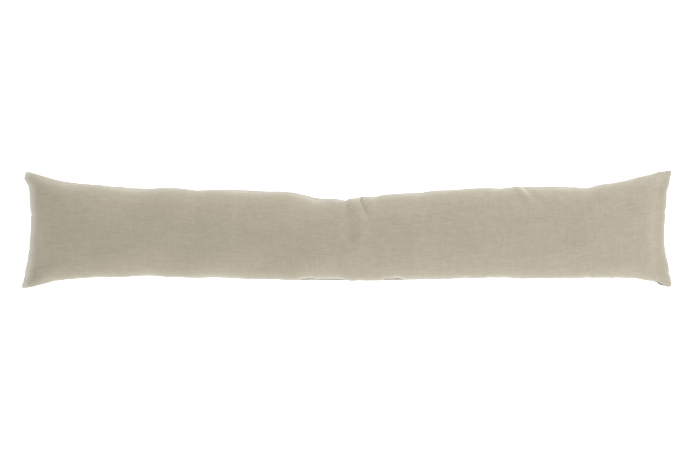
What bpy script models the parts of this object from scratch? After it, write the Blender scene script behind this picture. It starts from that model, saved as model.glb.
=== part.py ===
"""Draught excluder: a long filled cushion of plain linen, for the foot of a door.

Two equal strips of cloth are sewn together all round, turned out and filled with
fibre. The cushion lies on its back strip. Units are metres. X runs along the
length, Y across the width and Z up through the thickness, and the origin is on
the floor in the middle of the footprint.
"""

import math
from collections import namedtuple

import bmesh
import bpy
import numpy as np

# Cloth and filling
STRIP_WIDTH = 0.163  # flat width of each strip between its two long seams
MOST_CROWN = 0.0445  # the filling lifts the front strip no higher than this over the seam
LEAST_CROWN = 0.0060
CROWN_SOFTNESS = 0.0040  # height over which the crown eases into its greatest value
FRONT_FULLNESS = 0.94  # power of the section's cosine: 1 is an ellipse, less is boxier
BACK_FULLNESS = 0.80
MIDDLE_HALF_WIDTH = 0.0615  # from the middle line to a long seam, over most of the length
SETTLED = 0.0062  # how far the back strip is pressed flat by the floor
FLOOR_BLEND = 0.0030  # height over which the pressed patch rounds into the side
SEAM_THICKNESS = 0.0024  # the turned seam allowances along every edge
EAR_THICKNESS = 0.0042  # the same at a corner, where four layers bunch up
EAR_REACH = 0.022

# Closing of the two ends
END_ROUNDING = 0.038  # length over which the crown rises from the end seam
END_DRAW_REACH = 0.100  # length over which the drawn-in end seam fades out
END_HEIGHT_REACH = 0.130  # length over which the long seams reach their corner heights

# Mesh
COLUMNS = 104
ROWS = 16
COLUMN_PITCH_MIDDLE = 0.0096
COLUMN_PITCH_FINE = 0.0050
EDGE_ROW_SHARE = 0.45  # width of the rows at a seam beside the rows in the middle
ARC_SAMPLES = 181

# Fine columns around these places: (middle, half length)
FINE_STRETCHES = (
    (-0.435, 0.045),
    (0.020, 0.040),
    (0.262, 0.025),
    (0.435, 0.045),
)

# Both long seams as seen from above: place along X, upper (+Y) seam, lower (-Y) seam
OutlineRow = namedtuple("OutlineRow", "along upper lower")
OUTLINE = (
    OutlineRow(-0.450, 0.0812, -0.0824),
    OutlineRow(-0.441, 0.0802, -0.0808),
    OutlineRow(-0.428, 0.0767, -0.0775),
    OutlineRow(-0.408, 0.0703, -0.0722),
    OutlineRow(-0.375, 0.0649, -0.0679),
    OutlineRow(-0.340, 0.0607, -0.0655),
    OutlineRow(-0.308, 0.0573, -0.0653),
    OutlineRow(-0.272, 0.0564, -0.0638),
    OutlineRow(-0.240, 0.0566, -0.0652),
    OutlineRow(-0.205, 0.0542, -0.0669),
    OutlineRow(-0.165, 0.0547, -0.0667),
    OutlineRow(-0.125, 0.0530, -0.0685),
    OutlineRow(-0.085, 0.0521, -0.0697),
    OutlineRow(-0.058, 0.0476, -0.0700),
    OutlineRow(-0.036, 0.0431, -0.0701),
    OutlineRow(-0.014, 0.0424, -0.0702),
    OutlineRow(0.000, 0.0395, -0.0702),
    OutlineRow(0.013, 0.0440, -0.0704),
    OutlineRow(0.036, 0.0451, -0.0704),
    OutlineRow(0.055, 0.0477, -0.0701),
    OutlineRow(0.090, 0.0503, -0.0692),
    OutlineRow(0.150, 0.0549, -0.0676),
    OutlineRow(0.195, 0.0576, -0.0666),
    OutlineRow(0.245, 0.0586, -0.0674),
    OutlineRow(0.300, 0.0585, -0.0673),
    OutlineRow(0.320, 0.0573, -0.0673),
    OutlineRow(0.345, 0.0608, -0.0664),
    OutlineRow(0.372, 0.0643, -0.0664),
    OutlineRow(0.400, 0.0713, -0.0671),
    OutlineRow(0.416, 0.0748, -0.0694),
    OutlineRow(0.434, 0.0788, -0.0747),
    OutlineRow(0.442, 0.0806, -0.0778),
    OutlineRow(0.450, 0.0820, -0.0788),
)

# Both end seams: share across the width (-1 lower corner, 1 upper corner), how far
# each end is drawn in there, and the seam's height over the floor
EndRow = namedtuple("EndRow", "share left_inset right_inset left_height right_height")
END_SEAMS = (
    EndRow(-1.0, 0.0000, 0.0000, 0.0245, 0.0225),
    EndRow(-0.7, 0.0049, 0.0036, 0.0275, 0.0262),
    EndRow(-0.4, 0.0096, 0.0082, 0.0305, 0.0298),
    EndRow(-0.1, 0.0120, 0.0097, 0.0320, 0.0318),
    EndRow(0.2, 0.0132, 0.0087, 0.0322, 0.0326),
    EndRow(0.5, 0.0108, 0.0071, 0.0318, 0.0330),
    EndRow(0.8, 0.0066, 0.0038, 0.0310, 0.0338),
    EndRow(1.0, 0.0046, 0.0006, 0.0305, 0.0345),
)

# Folds of the front strip: a line from start to end, half width, and height at its
# start (below zero is a crease). Each fades out towards its end.
Fold = namedtuple("Fold", "x_start y_start x_end y_end half_width height")
FRONT_FOLDS = (
    # The waist, where the cushion is bent and the slack cloth creases
    Fold(0.0195, 0.0460, 0.0345, 0.0080, 0.0042, -0.0044),
    Fold(0.0085, 0.0420, 0.0225, 0.0080, 0.0060, 0.0026),
    Fold(0.0330, 0.0430, 0.0440, 0.0120, 0.0060, 0.0018),
    Fold(0.0190, 0.0040, 0.0150, -0.0160, 0.0120, -0.0022),
    Fold(-0.0340, 0.0440, -0.0200, 0.0140, 0.0110, -0.0012),
    # The shorter fold right of it
    Fold(0.2400, 0.0580, 0.2680, 0.0340, 0.0055, 0.0024),
    Fold(0.2560, 0.0600, 0.2850, 0.0330, 0.0075, -0.0022),
    # Pulls from the four corners
    Fold(-0.4400, 0.0740, -0.3700, 0.0330, 0.0080, 0.0018),
    Fold(-0.4300, 0.0560, -0.3800, 0.0200, 0.0090, -0.0016),
    Fold(-0.4420, -0.0760, -0.3720, -0.0400, 0.0080, 0.0020),
    Fold(-0.4280, -0.0540, -0.3850, -0.0240, 0.0080, -0.0016),
    Fold(0.4400, 0.0760, 0.3650, 0.0360, 0.0085, 0.0018),
    Fold(0.3950, 0.0690, 0.3720, 0.0420, 0.0070, -0.0018),
    Fold(0.4420, -0.0740, 0.3800, -0.0420, 0.0080, 0.0018),
)
BACK_FOLDS = (
    Fold(-0.4400, 0.0740, -0.3750, 0.0400, 0.0090, 0.0016),
    Fold(-0.4420, -0.0760, -0.3750, -0.0420, 0.0090, 0.0016),
    Fold(0.4400, 0.0760, 0.3700, 0.0380, 0.0090, 0.0016),
    Fold(0.4420, -0.0740, 0.3750, -0.0420, 0.0090, 0.0016),
    Fold(0.0150, 0.0430, 0.0260, 0.0200, 0.0060, -0.0026),
)

FOLD_FADING = 0.75  # how far a fold has faded by its end, where 1 is wholly
FOLD_AT_SEAM = 0.35  # share of a fold's height that is left at the seam
SEAM_CALM = 0.010  # the relief grows from nothing over this distance from a seam

# Puckers that the sewing draws along the seams, and slow unevenness of the filling
PUCKER_HEIGHT = 0.00085
PUCKER_REACH = 0.016  # how far a pucker runs in from the seam
PUCKER_WAVES = ((0.0320, 0.4), (0.0510, 2.1), (0.0230, 4.4))  # wave length, phase
PUCKER_SLANT = 0.6
BACK_PUCKER_SHIFT = 1.9  # the back strip puckers at other places than the front
LUMP_HEIGHT = 0.00055
LUMP_WAVES = (  # wave length, phase, skew
    (0.190, 0.9, 0.5),
    (0.118, 2.6, -0.9),
    (0.310, 4.0, 1.6),
    (0.083, 1.2, 0.3),
    (0.143, 5.1, -2.4),
)
BACK_LUMP_SHARE = 0.3  # the floor evens out most of the back strip's lumps

LINEN_COLOUR = (0.474, 0.428, 0.333, 1.0)
LINEN_ROUGHNESS = 0.92


def smooth_steps(x, places, values):
    """A curve through the values at the places, without corners."""
    places = np.asarray(places, float)
    values = np.asarray(values, float)
    slopes = np.gradient(values, places)
    x = np.clip(x, places[0], places[-1])
    left = np.clip(np.searchsorted(places, x, side="right") - 1, 0, len(places) - 2)
    span = places[left + 1] - places[left]
    t = (x - places[left]) / span
    rise = values[left + 1] - values[left]
    start, end = slopes[left] * span, slopes[left + 1] * span
    return (
        values[left]
        + start * t
        + (3 * rise - 2 * start - end) * t**2
        + (start + end - 2 * rise) * t**3
    )


def ease(x):
    """0 below 0, 1 above 1, and a soft rise between."""
    x = np.clip(x, 0.0, 1.0)
    return x * x * (3 - 2 * x)


def half_length():
    return OUTLINE[-1].along


def column_places():
    """Places along X, closer together at the ends and at the creases."""
    x = np.linspace(-half_length(), half_length(), 2001)
    density = np.full_like(x, 1 / COLUMN_PITCH_MIDDLE)
    for middle, reach in FINE_STRETCHES:
        near = 1 - ease((np.abs(x - middle) - reach) / reach)
        density += near * (1 / COLUMN_PITCH_FINE - 1 / COLUMN_PITCH_MIDDLE)
    steps = (density[1:] + density[:-1]) / 2 * np.diff(x)
    count = np.concatenate([[0], np.cumsum(steps)])
    return np.interp(np.linspace(0, count[-1], COLUMNS + 1), count, x)


def row_shares():
    """Shares across a strip from -1 to 1, closer together at the seams."""
    widths = np.interp(
        np.linspace(-1, 1, ROWS),
        (-1, -0.35, 0.35, 1),
        (EDGE_ROW_SHARE, 1, 1, EDGE_ROW_SHARE),
    )
    edges = np.concatenate([[0], np.cumsum(widths)])
    return edges / edges[-1] * 2 - 1


def section(half_width, crown, fullness, shares):
    """(y, z) of a strip's section at even shares of its arc, seam to seam."""
    t = np.linspace(-math.pi / 2, math.pi / 2, ARC_SAMPLES)
    y = half_width * np.sin(t)
    z = crown * np.abs(np.cos(t)) ** fullness
    arc = np.concatenate([[0], np.cumsum(np.hypot(np.diff(y), np.diff(z)))])
    at = (np.asarray(shares) + 1) / 2 * arc[-1]
    return np.interp(at, arc, y), np.interp(at, arc, z), arc[-1]


def crown_of(half_width, fullness):
    """The height to which a strip of this cloth bows between its seams. Cloth doesn't
    stretch, so where the seams stand closer together the strip stands higher."""
    low, high = 0.0, MOST_CROWN * 2
    for _ in range(30):
        middle = (low + high) / 2
        if section(half_width, middle, fullness, (0,))[2] < STRIP_WIDTH:
            low = middle
        else:
            high = middle
    return low


def crowns_along(places, half_widths, fullness):
    """The crown at each column: what the cloth allows, what the filling reaches, and
    the rounding of the two ends."""
    free = np.array([crown_of(width, fullness) for width in half_widths])
    excess = np.log1p(np.exp((MOST_CROWN - free) / CROWN_SOFTNESS))
    limited = MOST_CROWN - CROWN_SOFTNESS * excess
    from_end = half_length() - np.abs(places)
    rising = np.clip(1 - from_end / END_ROUNDING, 0, 1)
    return np.maximum(limited, LEAST_CROWN) * np.sqrt(1 - rising**2)


def fold_heights(x, y, folds):
    """Height of all folds at each point seen from above."""
    total = np.zeros_like(x)
    for fold in folds:
        run_x, run_y = fold.x_end - fold.x_start, fold.y_end - fold.y_start
        length = math.hypot(run_x, run_y)
        along = ((x - fold.x_start) * run_x + (y - fold.y_start) * run_y) / length
        across = ((x - fold.x_start) * run_y - (y - fold.y_start) * run_x) / length
        share = along / length
        before = np.exp(-((np.minimum(along, 0) / (2 * fold.half_width)) ** 2))
        worn = np.clip(share, 0, 1) * FOLD_FADING + np.maximum(share - 1, 0)
        fading = before * (1 - ease(worn))
        total += fold.height * fading * np.exp(-((across / fold.half_width) ** 2))
    return total


def pucker_heights(x, y, seam_gap, front):
    """Ripples square to the seams, which die out inside PUCKER_REACH."""
    ripple = np.zeros_like(x)
    shift = 0.0 if front else BACK_PUCKER_SHIFT
    for length, phase in PUCKER_WAVES:
        ripple += np.sin(2 * math.pi * (x + PUCKER_SLANT * y) / length + phase + shift)
    return PUCKER_HEIGHT * ripple * np.exp(-seam_gap / PUCKER_REACH)


def lump_heights(x, y, front):
    """Slow unevenness of the fibre filling."""
    total = np.zeros_like(x)
    for length, phase, skew in LUMP_WAVES:
        total += np.sin(2 * math.pi * (x + skew * y) / length + phase)
    return LUMP_HEIGHT * total * (1 if front else BACK_LUMP_SHARE)


def end_shapes(places, shares):
    """How far each point is drawn in from the ends, and the height of the surface in
    which the seams lie."""
    rows = np.array(END_SEAMS)
    at_left = places[:, None] < 0
    inset = np.where(
        at_left,
        smooth_steps(shares, rows[:, 0], rows[:, 1])[None, :],
        -smooth_steps(shares, rows[:, 0], rows[:, 2])[None, :],
    )
    height = np.where(
        at_left,
        smooth_steps(shares, rows[:, 0], rows[:, 3])[None, :],
        smooth_steps(shares, rows[:, 0], rows[:, 4])[None, :],
    )
    from_end = (half_length() - np.abs(places))[:, None]
    drawn = inset * (1 - ease(from_end / END_DRAW_REACH))
    return drawn, height, ease(from_end / END_HEIGHT_REACH)


def seam_thickness(places, shares):
    """Thickness of the edge band, greatest at the four corners."""
    from_end = half_length() - np.abs(places)[:, None]
    from_side = (1 - np.abs(shares))[None, :] * STRIP_WIDTH / 2
    ear = 1 - ease(np.hypot(from_end, from_side) / EAR_REACH)
    return SEAM_THICKNESS + (EAR_THICKNESS - SEAM_THICKNESS) * ear


def strip_points(front, seam_plane):
    """Grid of (x, y, z) for one strip, before its folds are raised."""
    places, shares = column_places(), row_shares()
    rows = np.array(OUTLINE)
    upper = smooth_steps(places, rows[:, 0], rows[:, 1])
    lower = smooth_steps(places, rows[:, 0], rows[:, 2])
    half_widths = (upper - lower) / 2
    fullness = FRONT_FULLNESS if front else BACK_FULLNESS
    crowns = crowns_along(places, half_widths, fullness)
    side = 1 if front else -1
    drawn, end_height, inner = end_shapes(places, shares)
    level = end_height + (seam_plane - end_height) * inner
    band = seam_thickness(places, shares)
    points = np.empty((len(places), len(shares), 3))
    for i, (width, crown) in enumerate(zip(half_widths, crowns)):
        y, z, _ = section(width, crown, fullness, shares)
        points[i, :, 0] = places[i] + drawn[i]
        points[i, :, 1] = (upper[i] + lower[i]) / 2 + y
        points[i, :, 2] = level[i] + side * (z + band[i] / 2)
    return points


def relief(points, front):
    """Height of folds, puckers and lumps over the strip, none of it at the seams."""
    x, y = points[:, :, 0], points[:, :, 1]
    shares = row_shares()
    from_side = (1 - np.abs(shares))[None, :] * STRIP_WIDTH / 2
    from_end = half_length() - np.abs(column_places())[:, None]
    seam_gap = np.minimum(from_side, from_end)
    inside = ease(seam_gap / SEAM_CALM)
    folds = fold_heights(x, y, FRONT_FOLDS if front else BACK_FOLDS)
    slow = pucker_heights(x, y, seam_gap, front) + lump_heights(x, y, front)
    return inside * slow + folds * (FOLD_AT_SEAM + (1 - FOLD_AT_SEAM) * inside)


def pressed(z):
    """Heights with everything below the floor pressed flat, softly at its rim."""
    lifted = (z + FLOOR_BLEND) ** 2 / (4 * FLOOR_BLEND)
    return np.where(z > FLOOR_BLEND, z, np.where(z < -FLOOR_BLEND, 0.0, lifted))


def make_box_grid():
    """A cube cut into a grid on its two large faces, with one face of depth all round."""
    bm = bmesh.new()
    bmesh.ops.create_cube(bm, size=2)
    for axis, pieces in ((0, COLUMNS), (1, ROWS)):
        edges = [
            edge
            for edge in bm.edges
            if abs(edge.verts[0].co[axis] - edge.verts[1].co[axis]) > 1
        ]
        bmesh.ops.subdivide_edges(bm, edges=edges, cuts=pieces - 1, use_grid_fill=True)
    return bm


def grid_index(vert):
    return round((vert.co.x + 1) / 2 * COLUMNS), round((vert.co.y + 1) / 2 * ROWS)


def make_material():
    material = bpy.data.materials.new("linen")
    material.use_nodes = True
    shader = material.node_tree.nodes["Principled BSDF"]
    shader.inputs["Base Color"].default_value = LINEN_COLOUR
    shader.inputs["Roughness"].default_value = LINEN_ROUGHNESS
    shader.inputs["Metallic"].default_value = 0.0
    return material


def make_cushion(collection):
    """The cube's grid is moved onto the two strips, and the folds are raised along the
    vertex normals. The flat patch that meets the floor comes last."""
    back_depth = crown_of(MIDDLE_HALF_WIDTH, BACK_FULLNESS)
    seam_plane = back_depth + SEAM_THICKNESS / 2 - SETTLED
    strips = {front: strip_points(front, seam_plane) for front in (True, False)}
    reliefs = {front: relief(strips[front], front) for front in (True, False)}

    bm = make_box_grid()
    raised = {}
    for vert in bm.verts:
        front, index = vert.co.z > 0, grid_index(vert)
        raised[vert] = reliefs[front][index]
        vert.co = strips[front][index]
    bm.normal_update()
    moves = {vert: vert.normal * height for vert, height in raised.items()}
    for vert, move in moves.items():
        vert.co += move

    points = np.array([vert.co for vert in bm.verts])
    middle = (points.min(axis=0) + points.max(axis=0)) / 2
    heights = pressed(points[:, 2])
    for vert, height in zip(bm.verts, heights):
        vert.co.x -= middle[0]
        vert.co.y -= middle[1]
        vert.co.z = height

    mesh = bpy.data.meshes.new("cushion")
    bm.to_mesh(mesh)
    bm.free()
    mesh.shade_smooth()
    mesh.materials.append(make_material())
    cushion = bpy.data.objects.new("cushion", mesh)
    collection.objects.link(cushion)
    return cushion


def main():
    for old in list(bpy.data.objects):
        bpy.data.objects.remove(old)
    collection = bpy.data.collections.new("draught_excluder")
    bpy.context.scene.collection.children.link(collection)
    make_cushion(collection)


main()
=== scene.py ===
"""Looks of the draught excluder: its linen, its sewn edge, the puckers and creases of the
cloth, a pale floor, studio light and the camera.

The cushion is the frame's own form made again on a fine grid. Both strips of cloth are
laid out flat first, u along the length and v across, because the weave, the simulation
and the sewn edge all work in the cloth's own flat sizes. Units are metres.
"""

import math
from collections import namedtuple

import bmesh
import bpy
import numpy as np
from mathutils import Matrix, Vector


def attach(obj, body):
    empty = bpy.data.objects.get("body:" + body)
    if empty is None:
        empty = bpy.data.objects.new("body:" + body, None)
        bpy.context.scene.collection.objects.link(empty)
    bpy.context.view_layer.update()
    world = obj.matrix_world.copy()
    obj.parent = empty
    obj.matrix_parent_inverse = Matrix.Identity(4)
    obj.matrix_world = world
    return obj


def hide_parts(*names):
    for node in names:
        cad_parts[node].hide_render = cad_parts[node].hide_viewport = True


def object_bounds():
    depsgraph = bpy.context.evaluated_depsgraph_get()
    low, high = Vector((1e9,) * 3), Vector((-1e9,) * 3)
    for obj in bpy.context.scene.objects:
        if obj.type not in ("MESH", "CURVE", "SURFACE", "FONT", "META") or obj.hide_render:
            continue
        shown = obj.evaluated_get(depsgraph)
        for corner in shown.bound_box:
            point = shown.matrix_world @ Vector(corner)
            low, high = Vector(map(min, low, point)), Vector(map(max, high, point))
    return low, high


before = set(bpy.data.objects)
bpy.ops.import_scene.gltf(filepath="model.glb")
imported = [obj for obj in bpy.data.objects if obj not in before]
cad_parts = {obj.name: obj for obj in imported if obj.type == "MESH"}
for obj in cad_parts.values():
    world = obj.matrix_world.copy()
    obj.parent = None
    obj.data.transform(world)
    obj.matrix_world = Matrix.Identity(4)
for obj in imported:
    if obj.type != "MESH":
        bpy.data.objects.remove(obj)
cad_low, cad_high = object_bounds()

# The photograph, in its pixels
PHOTO_WIDTH, PHOTO_HEIGHT = 700, 467
CUSHION_LEFT, CUSHION_RIGHT = 22.05, 671.85
CUSHION_MIDDLE_DOWN = 229.7

# Camera
LENS_MM, SENSOR_MM = 85.0, 36.0
CORNER_HEIGHT = 0.028  # the corners, whose distance sets the scale, lie about this high

# The cushion's form, the solid's with a crown that starts more softly at the ends
STRIP_WIDTH = 0.163
MOST_CROWN = 0.0445
LEAST_CROWN = 0.0060
CROWN_SOFTNESS = 0.0040
CROWN_SAMPLES = 601
CROWN_SPREAD = 0.008  # over this length the crown follows the width
CROWN_WINDOW = 3  # and the smoothing looks this many times as far each way
CROWN_HALVINGS = 24
HIGHEST_BOW = 2 * MOST_CROWN  # no strip of this cloth bows up as far as this
FRONT_FULLNESS = 0.94
BACK_FULLNESS = 0.80
MIDDLE_HALF_WIDTH = 0.0615
SETTLED = 0.0062
FLOOR_BLEND = 0.0030
SEAM_THICKNESS = 0.0024
EAR_THICKNESS = 0.0042
EAR_REACH = 0.022
END_ROUNDING = 0.038
END_DRAW_REACH = 0.100
END_HEIGHT_REACH = 0.130
ARC_SAMPLES = 181
LENGTH_SAMPLES = 6001
SURFACE_SAMPLES = 601
RISE_SHARE = 0.6  # of the crown's rise at an end, how much the cloth's mean length takes in
TINY = 1e-12  # keeps divisions away from zero

# Sewn edge
SEAM_OPENING = 0.0005
SEAM_ROLL = 0.0016  # over this distance the cloth curves in to the seam
GROOVE_REACH = 0.0015
END_GROOVE = 0.0003
ALLOWANCE_HEIGHT = 0.00030  # the turned allowances lift the cloth beside the seam
END_ALLOWANCE_HEIGHT = 0.00020
ALLOWANCE_PLACE = 0.0048
ALLOWANCE_REACH = 0.0024
EAR_CREASE = -0.0006  # an ear is set off from the strip by a slight crease
EAR_CREASE_PLACE = 0.0105
EAR_CREASE_REACH = 0.0024
# Painted shade: the cloth is painted darker right along every seam, in its groove
SEAM_SHADE, SEAM_SHADE_REACH = 0.15, 0.0009
# Painted shadow: the lower seam's dark marks are painted dark on the back strip, with a shadowy
# tint on the front strip
MARK_SHADE_REACH = 0.0018  # a dark mark of the lower seam covers the back strip as far as this
FRONT_MARK_SHADE_SHARE, FRONT_MARK_SHADE_REACH = 0.10, 0.006  # and tints the front strip
# Painted light: the cloth is painted paler towards each seam, most at the upper seam and the
# left end, for light on its rims
UPPER_PAINTED_LIGHT_SHARE, UPPER_PAINTED_LIGHT_REACH = 0.28, 0.019
LOWER_PAINTED_LIGHT_SHARE, LOWER_PAINTED_LIGHT_REACH = 0.14, 0.016
LEFT_PAINTED_LIGHT_SHARE, LEFT_PAINTED_LIGHT_REACH = 0.85, 0.0095
RIGHT_PAINTED_LIGHT_SHARE, RIGHT_PAINTED_LIGHT_REACH = 0.35, 0.0065

# Both long seams as seen from above: place along X, upper (+Y) seam, lower (-Y) seam
OutlineRow = namedtuple("OutlineRow", "along upper lower")
OUTLINE = (
    OutlineRow(-0.4500, 0.0812, -0.0824),
    OutlineRow(-0.4410, 0.0796, -0.0808),
    OutlineRow(-0.4280, 0.0754, -0.0775),
    OutlineRow(-0.4080, 0.0698, -0.0722),
    OutlineRow(-0.3750, 0.0643, -0.0679),
    OutlineRow(-0.3400, 0.0614, -0.0655),
    OutlineRow(-0.3080, 0.0585, -0.0647),
    OutlineRow(-0.2720, 0.0566, -0.0638),
    OutlineRow(-0.2400, 0.0576, -0.0652),
    OutlineRow(-0.2250, 0.0560, -0.0659),
    OutlineRow(-0.2050, 0.0535, -0.0669),
    OutlineRow(-0.1820, 0.0543, -0.0661),
    OutlineRow(-0.1650, 0.0552, -0.0667),
    OutlineRow(-0.1250, 0.0536, -0.0685),
    OutlineRow(-0.1050, 0.0523, -0.0690),
    OutlineRow(-0.0850, 0.0521, -0.0691),
    OutlineRow(-0.0720, 0.0511, -0.0698),
    OutlineRow(-0.0580, 0.0482, -0.0700),
    OutlineRow(-0.0360, 0.0431, -0.0701),
    OutlineRow(-0.0140, 0.0422, -0.0702),
    OutlineRow(-0.0055, 0.0399, -0.0702),
    OutlineRow(0.0000, 0.0371, -0.0702),
    OutlineRow(0.0060, 0.0380, -0.0699),
    OutlineRow(0.0110, 0.0400, -0.0699),
    OutlineRow(0.0150, 0.0422, -0.0694),
    OutlineRow(0.0200, 0.0446, -0.0692),
    OutlineRow(0.0260, 0.0443, -0.0691),
    OutlineRow(0.0360, 0.0445, -0.0689),
    OutlineRow(0.0550, 0.0477, -0.0701),
    OutlineRow(0.0900, 0.0506, -0.0692),
    OutlineRow(0.1030, 0.0509, -0.0688),
    OutlineRow(0.1160, 0.0531, -0.0687),
    OutlineRow(0.1500, 0.0543, -0.0678),
    OutlineRow(0.1950, 0.0575, -0.0665),
    OutlineRow(0.2140, 0.0570, -0.0662),
    OutlineRow(0.2450, 0.0592, -0.0676),
    OutlineRow(0.2690, 0.0593, -0.0664),
    OutlineRow(0.3000, 0.0593, -0.0670),
    OutlineRow(0.3200, 0.0579, -0.0675),
    OutlineRow(0.3340, 0.0572, -0.0662),
    OutlineRow(0.3450, 0.0602, -0.0664),
    OutlineRow(0.3720, 0.0643, -0.0664),
    OutlineRow(0.3860, 0.0672, -0.0670),
    OutlineRow(0.4000, 0.0712, -0.0675),
    OutlineRow(0.4160, 0.0748, -0.0704),
    OutlineRow(0.4270, 0.0777, -0.0722),
    OutlineRow(0.4300, 0.0792, -0.0738),
    OutlineRow(0.4340, 0.0804, -0.0776),
    OutlineRow(0.4410, 0.0818, -0.0802),
    OutlineRow(0.4500, 0.0822, -0.0790),
)

HALF_LENGTH = OUTLINE[-1].along

# Both end seams: share across the width (-1 lower corner, 1 upper corner), how far
# each end is drawn in there, and the seam's height over the floor
EndRow = namedtuple("EndRow", "share left_inset right_inset left_height right_height")
END_SEAMS = (
    EndRow(-1.00, 0.0011, -0.0020, 0.0245, 0.0225),
    EndRow(-0.92, 0.0008, -0.0025, 0.0253, 0.0235),
    EndRow(-0.84, 0.0026, -0.0014, 0.0261, 0.0245),
    EndRow(-0.77, 0.0045, 0.0012, 0.0268, 0.0253),
    EndRow(-0.70, 0.0050, 0.0013, 0.0275, 0.0262),
    EndRow(-0.55, 0.0081, 0.0041, 0.0291, 0.0281),
    EndRow(-0.40, 0.0101, 0.0070, 0.0305, 0.0298),
    EndRow(-0.20, 0.0119, 0.0089, 0.0316, 0.0312),
    EndRow(0.00, 0.0134, 0.0088, 0.0321, 0.0321),
    EndRow(0.20, 0.0137, 0.0078, 0.0322, 0.0326),
    EndRow(0.36, 0.0130, 0.0067, 0.0320, 0.0328),
    EndRow(0.50, 0.0120, 0.0059, 0.0318, 0.0330),
    EndRow(0.64, 0.0115, 0.0055, 0.0314, 0.0334),
    EndRow(0.72, 0.0108, 0.0035, 0.0312, 0.0336),
    EndRow(0.80, 0.0076, 0.0021, 0.0310, 0.0338),
    EndRow(0.87, 0.0043, 0.0012, 0.0308, 0.0340),
    EndRow(0.94, 0.0062, 0.0002, 0.0307, 0.0342),
    EndRow(1.00, 0.0069, -0.0004, 0.0305, 0.0345),
)

# Stitches that draw the cloth in at the ends: which end, place across, how deep
Notch = namedtuple("Notch", "end across depth")
NOTCHES = (
    Notch(-1, 0.0210, 0.0013),
    Notch(-1, -0.0257, 0.0010),
    Notch(1, 0.0243, 0.0015),
)
NOTCH_WIDTH = 0.0026
NOTCH_REACH = 0.0080

# Folds of the cloth: a line from start to end, half width, and height at its start
# (below zero is a crease). Each fades out towards its end.
Fold = namedtuple("Fold", "x_start y_start x_end y_end half_width height")
FRONT_FOLDS = (
    # The waist: a crease that runs in from the upper seam, with a raised fold before it
    Fold(0.0186, 0.0440, 0.0315, 0.0130, 0.0016, -0.0036),
    Fold(0.0055, 0.0390, 0.0190, 0.0130, 0.0080, 0.0040),
    Fold(0.0300, 0.0440, 0.0420, 0.0120, 0.0060, 0.0012),
    Fold(0.0200, -0.0130, 0.0165, -0.0300, 0.0070, 0.0028),
    Fold(0.0045, -0.0100, 0.0035, -0.0280, 0.0075, -0.0034),
    Fold(-0.0340, 0.0440, -0.0200, 0.0140, 0.0110, -0.0006),
    # The shorter fold right of it
    Fold(0.2370, 0.0550, 0.2600, 0.0290, 0.0052, 0.0021),
    Fold(0.2480, 0.0570, 0.2790, 0.0240, 0.0050, -0.0020),
    # Pulls from the four corners
    Fold(-0.4400, 0.0700, -0.3700, 0.0300, 0.0080, 0.0014),
    Fold(-0.4300, 0.0560, -0.3800, 0.0200, 0.0090, -0.0014),
    Fold(-0.3930, 0.0590, -0.3800, 0.0520, 0.0070, 0.0010),
    Fold(-0.4420, -0.0760, -0.3720, -0.0400, 0.0080, 0.0020),
    Fold(-0.4280, -0.0540, -0.3850, -0.0240, 0.0080, -0.0016),
    Fold(0.4400, 0.0760, 0.3650, 0.0360, 0.0085, 0.0018),
    Fold(0.3950, 0.0690, 0.3720, 0.0420, 0.0070, -0.0018),
    Fold(0.4420, -0.0740, 0.3800, -0.0420, 0.0080, 0.0018),
)
BACK_FOLDS = (
    Fold(-0.4400, 0.0740, -0.3750, 0.0400, 0.0090, 0.0016),
    Fold(-0.4420, -0.0760, -0.3750, -0.0420, 0.0090, 0.0016),
    Fold(0.4400, 0.0760, 0.3700, 0.0380, 0.0090, 0.0016),
    Fold(0.4420, -0.0740, 0.3750, -0.0420, 0.0090, 0.0016),
    Fold(0.0150, 0.0430, 0.0260, 0.0200, 0.0050, -0.0030),
)
FOLD_LEAD = 2  # a fold rises over this many half widths before its start
FOLD_FADING = 0.75  # of its fading out, how much comes before its end
FOLD_AT_SEAM = 0.35  # share of a fold's height that is left at a seam
SEAM_CALM = 0.010  # over this distance the relief grows to its full height

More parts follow.
